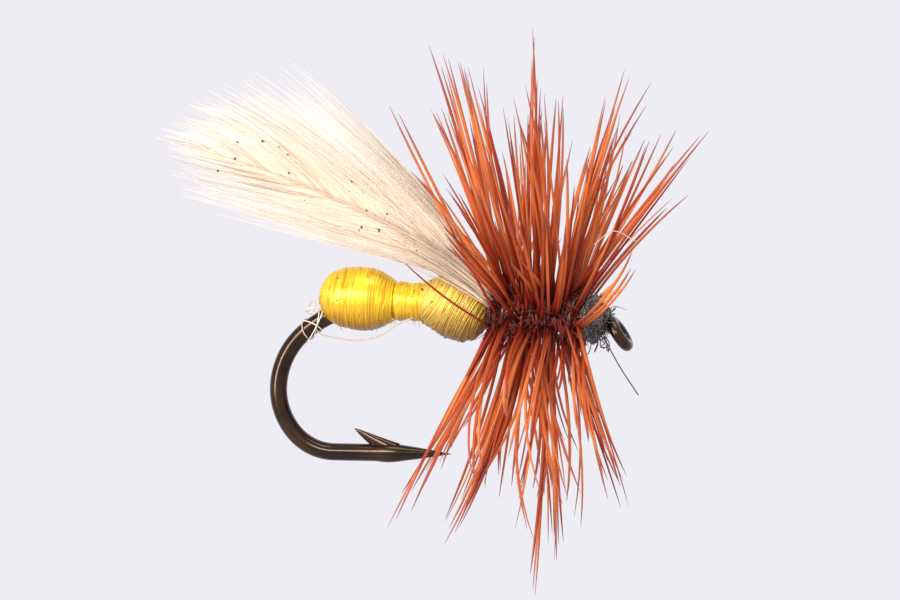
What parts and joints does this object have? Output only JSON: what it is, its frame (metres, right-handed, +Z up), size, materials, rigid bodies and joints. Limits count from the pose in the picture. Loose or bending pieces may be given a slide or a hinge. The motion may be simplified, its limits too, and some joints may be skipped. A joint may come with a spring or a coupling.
{
  "type": "dry fly",
  "caption": "Flying-ant dry fly: bronzed down-eye hook, two-bulb yellow floss body, cream hackle-tip wings swept back, rust-brown wound hackle and black thread head.",
  "frame": {"origin": "centre of the hook's eye hole", "axes": "+X along the hook shank towards the eye, +Z up with the wings on top, +Y to the fly's left-to-right side away from the near wing"},
  "size_m": [0.0201, 0.0181, 0.0206],
  "materials": {
    "bronzed_wire": "bronze lacquered wire, glossy with warm highlights",
    "black_thread": "waxed black tying thread, fuzzy",
    "yellow_floss": "glossy yellow rayon floss, wound",
    "underbody_yarn": "matt yellow cotton yarn, wound",
    "cream_feather": "translucent cream hackle-tip barbs",
    "cream_quill": "cream feather stem, satin",
    "rust_hackle": "glossy rust-brown cock hackle barbs",
    "rust_quill": "red-brown feather stem, satin",
    "cut_quill": "orange cut stem ends, satin",
    "clear_filament": "clear nylon filament"
  },
  "bodies": {
    "root": {"hook": "bronzed_wire", "hook_eye": "bronzed_wire", "thread_base": "black_thread", "rear_underbody": "underbody_yarn", "rear_bulb_floss": "yellow_floss", "front_underbody": "underbody_yarn", "front_bulb_floss": "yellow_floss", "waist_floss": "yellow_floss", "wing_stem_butts": "cream_quill", "wing_tie_wraps": "black_thread", "thorax_underbody": "black_thread", "head_thread": "black_thread", "whip_finish_knot": "black_thread", "hackle_stem": "rust_quill", "hackle_barbs_turn_1": "rust_hackle", "hackle_barbs_turn_2": "rust_hackle", "hackle_barbs_turn_3": "rust_hackle", "hackle_barbs_turn_4": "rust_hackle", "hackle_barbs_turn_5": "rust_hackle", "hackle_barbs_turn_6": "rust_hackle", "hackle_barbs_turn_7": "rust_hackle", "hackle_stem_butts": "cut_quill", "tag_filament_wraps": "clear_filament", "tag_filament_strand": "clear_filament", "head_loose_fibres": "black_thread"},
    "near_wing": {"near_wing_stem": "cream_quill", "near_wing_upper_vane": "cream_feather", "near_wing_lower_vane": "cream_feather"},
    "far_wing": {"far_wing_stem": "cream_quill", "far_wing_upper_vane": "cream_feather", "far_wing_lower_vane": "cream_feather"}
  },
  "joints": [
    {"name": "near_wing_flex", "type": "hinge", "parent": "root", "child": "near_wing", "pos_m": [-0.00462, -0.00036, 0.00148], "axis": [0.5225, 0, 0.8526], "range_deg": [-3, 25], "stiffness_Nm_per_rad": 0.000005},
    {"name": "far_wing_flex", "type": "hinge", "parent": "root", "child": "far_wing", "pos_m": [-0.00462, 0.00036, 0.00148], "axis": [-0.5225, 0, -0.8526], "range_deg": [-3, 25], "stiffness_Nm_per_rad": 0.000005}
  ]
}
